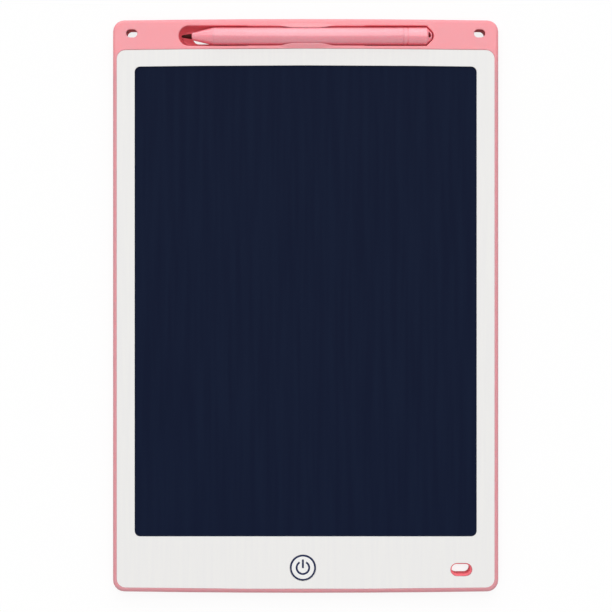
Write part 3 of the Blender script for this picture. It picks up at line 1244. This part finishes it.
def build_coin_cell():
    """Coin cell: the can that faces the door, the gasket ring and the cap that faces the spring."""
    low = CELL_LOW_Z
    high = CELL_TOP_Z
    shoulder = high - CELL_CAP_STAND
    inner = CELL_RADIUS - CELL_CAN_WALL
    crimp_inner = CELL_RADIUS - CELL_CRIMP
    can = turned("coin_cell_can", [
        (0.0, low + CELL_CAN_WALL), (inner, low + CELL_CAN_WALL), (inner, shoulder - CELL_CAN_WALL),
        (crimp_inner, shoulder - CELL_CAN_WALL), (crimp_inner, shoulder),
        (CELL_RADIUS - CELL_EDGE_ROUND, shoulder), (CELL_RADIUS, shoulder - CELL_EDGE_ROUND),
        (CELL_RADIUS, low + CELL_EDGE_ROUND), (CELL_RADIUS - CELL_EDGE_ROUND, low), (0.0, low)])
    can.location = (CELL_X, CELL_Y, 0)
    finish(smooth(can), STEEL, 0.25, 1.0)
    ring_outer = crimp_inner - CELL_GASKET_GAP
    ring_inner = CELL_CAP_RADIUS + CELL_GASKET_GAP
    ring_low = low + CELL_CAN_WALL + CELL_GASKET_GAP
    gasket = turned("coin_cell_gasket", [(ring_inner, shoulder), (ring_outer, shoulder),
                                         (ring_outer, ring_low), (ring_inner, ring_low)])
    gasket.location = (CELL_X, CELL_Y, 0)
    finish(smooth(gasket), GASKET_BLACK, 0.6)
    cap = turned("coin_cell_cap", [(0.0, high), (CELL_CAP_RADIUS - CELL_EDGE_ROUND, high),
                                   (CELL_CAP_RADIUS, high - CELL_EDGE_ROUND), (CELL_CAP_RADIUS, ring_low),
                                   (0.0, ring_low)])
    cap.location = (CELL_X, CELL_Y, 0)
    finish(smooth(cap), STEEL, 0.25, 1.0)


def build_battery_contacts():
    """Negative leaf spring over the cell, and positive blade against the can's side."""
    half = CONTACT_THICKNESS / 2
    pad_z = COMPONENT_LOW_Z + half
    over_z = CELL_TOP_Z + CONTACT_GAP + half
    rise_start = CIRCUIT_RIGHT + CONTACT_THICKNESS
    rise_end = CELL_X - BAY_RADIUS - CONTACT_THICKNESS
    touch = CELL_X + NEGATIVE_REACH
    path = [(CIRCUIT_RIGHT - NEGATIVE_PAD_LENGTH, pad_z), (rise_start, pad_z),
            (rise_end, over_z + CONTACT_GAP), (touch - NEGATIVE_CURL, over_z), (touch, over_z),
            (touch + NEGATIVE_CURL, over_z + NEGATIVE_TIP_LIFT)]
    leaf = strip("battery_contact_negative", path, NEGATIVE_WIDTH / 2, CONTACT_THICKNESS)
    leaf.rotation_euler = (math.pi / 2, 0, 0)
    leaf.location = (0, CIRCUIT_Y + NEGATIVE_SHIFT_Y, 0)
    finish(leaf, STEEL, 0.3, 1.0)
    blade_y = CIRCUIT_Y + POSITIVE_SHIFT_Y
    touch_radius = CELL_RADIUS + CONTACT_GAP + half
    touch_x = CELL_X + touch_radius * math.cos(POSITIVE_TOUCH_ANGLE)
    touch_y = CELL_Y + touch_radius * math.sin(POSITIVE_TOUCH_ANGLE)
    end_x = touch_x - POSITIVE_CURL
    end_y = touch_y + POSITIVE_CURL
    route = [(CIRCUIT_RIGHT - POSITIVE_PAD_LENGTH, blade_y), (touch_x - 2 * POSITIVE_CURL, blade_y),
             (touch_x, touch_y), (end_x, end_y)]
    blade = strip("battery_contact_positive", route, POSITIVE_WIDTH / 2, CONTACT_THICKNESS)
    blade.location = (0, 0, COMPONENT_LOW_Z + POSITIVE_WIDTH / 2)
    finish(blade, STEEL, 0.3, 1.0)


def build_battery_door():
    """Battery door with its two tabs, grip grooves and screw seat, and the screw."""
    door = plate("battery_door", [door_outline()], DOOR_LOW_Z, DOOR_TOP_Z)
    tab_low = DOOR_TAB_LOW_Z
    for side, label in ((-1, "front"), (1, "back")):
        middle = CELL_Y + side * DOOR_TAB_SPREAD
        join(door, solid_box(label + "_tab_add",
                             DOOR_HINGE_X - DOOR_TAB_LENGTH, DOOR_HINGE_X + DOOR_TAB_LENGTH,
                             middle - DOOR_TAB_WIDTH / 2, middle + DOOR_TAB_WIDTH / 2,
                             tab_low, tab_low + DOOR_TAB_THICKNESS))
    head_room = SCREW_HEAD_RADIUS + SCREW_HOLE_CLEARANCE
    cut(door,
        plate("screw_seat_cut", [circle(DOOR_SCREW_X, CELL_Y, head_room, SMALL_TURN_STEPS)],
              DOOR_LOW_Z - OVERRUN, DOOR_LOW_Z + DOOR_SCREW_RECESS),
        plate("screw_way_cut", [circle(DOOR_SCREW_X, CELL_Y, SCREW_HOLE_RADIUS, SMALL_TURN_STEPS)],
              DOOR_LOW_Z, DOOR_TOP_Z + OVERRUN))
    for i in range(DOOR_GRIPS):
        x = DOOR_HINGE_X + DOOR_GRIP_INSET + i * DOOR_GRIP_PITCH
        cut(door, solid_box("door_grip_cut_%d" % i, x, x + DOOR_GRIP_WIDTH,
                            CELL_Y - DOOR_GRIP_LENGTH / 2, CELL_Y + DOOR_GRIP_LENGTH / 2,
                            DOOR_LOW_Z - OVERRUN, DOOR_LOW_Z + DOOR_GRIP_DEPTH))
    shift_origin(door, (DOOR_HINGE_X, CELL_Y, DOOR_TAB_LOW_Z))
    finish(smooth(door), PINK_FRAME, 0.5)
    seat_z = DOOR_LOW_Z + DOOR_SCREW_RECESS - SCREW_SEAT_GAP
    screw("battery_door_screw", DOOR_SCREW_LENGTH, (DOOR_SCREW_X, CELL_Y, seat_z), upside_down=True)


def lay_along_pen(piece):
    """Turn a piece so that its own Z runs along the pen, towards the tail."""
    piece.rotation_euler = (0, math.pi / 2, 0)
    piece.location = (0, PEN_Y, PEN_HEIGHT)
    return piece


def build_pen():
    """Pen: nib, nose cone, barrel tube and tail cap with the tether eye."""
    step = PEN_PART_GAP
    socket_radius = NIB_SHANK_RADIUS + step
    shank_end = NOSE_TIP_X + NIB_SHANK_LENGTH
    angles = [math.pi / 2 * (1 - i / ROUND_STEPS) for i in range(ROUND_STEPS)]
    nib_tip = [(NIB_TIP_RADIUS * math.sin(a), PEN_TIP_X + NIB_TIP_RADIUS * (1 - math.cos(a)))
               for a in angles]
    nib = turned("pen_nib", [(0.0, shank_end), (NIB_SHANK_RADIUS, shank_end),
                             (NIB_SHANK_RADIUS, NOSE_TIP_X), (NIB_RADIUS, NOSE_TIP_X - step),
                             (NIB_NECK_RADIUS, NOSE_TIP_X - NIB_NECK_LENGTH)] +
                 nib_tip + [(0.0, PEN_TIP_X)], SMALL_TURN_STEPS)
    finish(smooth(lay_along_pen(nib)), NIB_BROWN, 0.4)
    bore_end = shank_end + step
    spigot_end = BARREL_START_X + SPIGOT_LENGTH
    nose = turned("pen_nose_cone", [
        (0.0, spigot_end), (SPIGOT_RADIUS, spigot_end), (SPIGOT_RADIUS, BARREL_START_X),
        (PEN_RADIUS, BARREL_START_X), (NOSE_TIP_RADIUS, NOSE_TIP_X + NOSE_TIP_ROUND),
        (NOSE_TIP_RADIUS - NOSE_TIP_ROUND, NOSE_TIP_X), (socket_radius, NOSE_TIP_X),
        (socket_radius, bore_end), (0.0, bore_end)])
    finish(smooth(lay_along_pen(nose)), PINK_PEN, 0.3)
    inner = PEN_RADIUS - BARREL_WALL
    barrel = turned("pen_barrel", [(inner, BARREL_END_X), (PEN_RADIUS, BARREL_END_X),
                                   (PEN_RADIUS, BARREL_START_X + step), (inner, BARREL_START_X + step)])
    finish(smooth(lay_along_pen(barrel)), PINK_PEN, 0.3)
    cap_start = BARREL_END_X + step
    ring_end = cap_start + CAP_RING_LENGTH
    groove = PEN_RADIUS - GROOVE_DEPTH
    corner = PEN_END_X - TAIL_CONE_LENGTH - TAIL_END_LENGTH
    end_round = [(TAIL_END_RADIUS * math.cos(a), PEN_END_X - TAIL_END_LENGTH * (1 - math.sin(a)))
                 for a in angles[1:]]
    profile = [(0.0, PEN_END_X)] + end_round + [
        (TAIL_END_RADIUS, PEN_END_X - TAIL_END_LENGTH), (PEN_RADIUS, corner),
        (PEN_RADIUS, ring_end + GROOVE_WIDTH), (groove, ring_end + GROOVE_WIDTH), (groove, ring_end),
        (PEN_RADIUS, ring_end), (PEN_RADIUS, cap_start), (SPIGOT_RADIUS, cap_start),
        (SPIGOT_RADIUS, cap_start - SPIGOT_LENGTH), (0.0, cap_start - SPIGOT_LENGTH)]
    cap = turned("pen_tail_cap", profile)
    cut(cap, eye_tool())
    finish(smooth(lay_along_pen(cap)), PINK_PEN, 0.3)


def eye_tool():
    """Cutter for the tail's tether eye, a D that runs through from front to back."""
    left = PEN_END_X - EYE_FROM_END
    half = EYE_WIDTH / 2
    steps = 2 * ROUND_STEPS
    bow = [(left + EYE_LENGTH * math.cos(a), PEN_Y + half * math.sin(a))
           for a in [math.pi * (i / steps - 1 / 2) for i in range(steps + 1)]]
    return plate("pen_eye_cut", [bow], PEN_HEIGHT - PEN_DIAMETER, PEN_HEIGHT + PEN_DIAMETER)


def build_tablet():
    """Build every piece of the tablet."""
    build_rear_cover()
    build_front_frame()
    build_panel_and_tape()
    build_display()
    build_film_tail()
    build_circuit_board()
    build_components()
    build_circuit_screws()
    build_erase_key()
    build_lock_switch()
    build_coin_cell()
    build_battery_contacts()
    build_battery_door()
    build_pen()


build_tablet()
